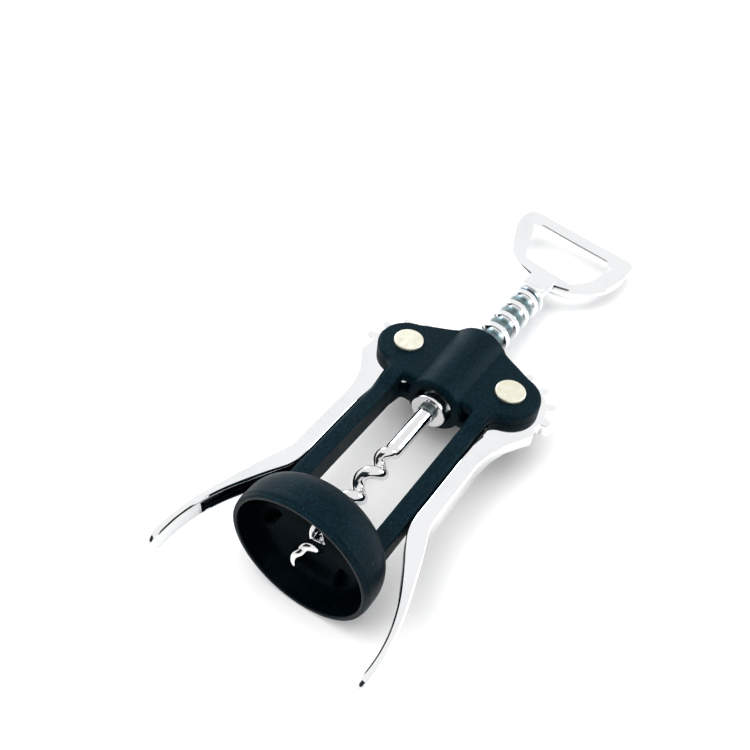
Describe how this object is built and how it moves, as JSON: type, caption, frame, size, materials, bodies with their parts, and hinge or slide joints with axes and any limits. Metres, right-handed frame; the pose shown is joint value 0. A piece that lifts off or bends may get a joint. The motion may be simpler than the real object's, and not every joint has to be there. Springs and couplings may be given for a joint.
{
  "type": "wing corkscrew",
  "caption": "Two-lever wing corkscrew with a bell that sits on the bottle, a wire worm on a ringed shaft, and a D-shaped handle that lifts crown caps.",
  "frame": {"origin": "centre of the bell's mouth, where the bottle's lip goes in", "axes": "+Y along the worm from the bell's mouth to the handle, +X across to the right lever, +Z normal to the plane the levers swing in"},
  "size_m": [0.0658, 0.1909, 0.0424],
  "materials": {
    "black_plastic": "fine-grained moulded black",
    "chrome_casting": "bright chrome plate on a die casting",
    "steel_worm": "bright plated steel wire",
    "nickel_rivet": "pale nickel, lightly dented by the rivet tool",
    "steel_washer": "bright steel"
  },
  "bodies": {
    "frame_body": {"frame": "black_plastic", "rivet_left": "nickel_rivet", "rivet_right": "nickel_rivet", "rivet_washer_left": "steel_washer", "rivet_washer_right": "steel_washer"},
    "left_arm": {"lever_left": "chrome_casting"},
    "right_arm": {"lever_right": "chrome_casting"},
    "washer_body": {"guide_washer": "steel_washer"},
    "screw_body": {"cap_lifter": "chrome_casting", "rack_shaft": "chrome_casting", "worm": "steel_worm", "worm_pin": "steel_washer"}
  },
  "joints": [
    {"name": "rack_slide", "type": "slide", "parent": "frame_body", "child": "washer_body", "axis": [0, 1, 0], "range_m": [-0.0318, 0]},
    {"name": "handle_spin", "type": "hinge", "parent": "washer_body", "child": "screw_body", "pos_m": [0, 0.0638, 0], "axis": [0, 1, 0], "continuous": true},
    {"name": "lever_right_lift", "type": "hinge", "parent": "frame_body", "child": "right_arm", "pos_m": [0.01775, 0.0794, 0], "axis": [0, 0, 1], "range_deg": [0, 137.2]},
    {"name": "lever_left_lift", "type": "hinge", "parent": "frame_body", "child": "left_arm", "pos_m": [-0.01775, 0.0794, 0], "axis": [0, 0, 1], "range_deg": [-137.2, 0]}
  ],
  "couplings": [
    {"joint": "lever_right_lift", "follows": "rack_slide", "rad_per_m": -75.188},
    {"joint": "lever_left_lift", "follows": "rack_slide", "rad_per_m": 75.188}
  ]
}
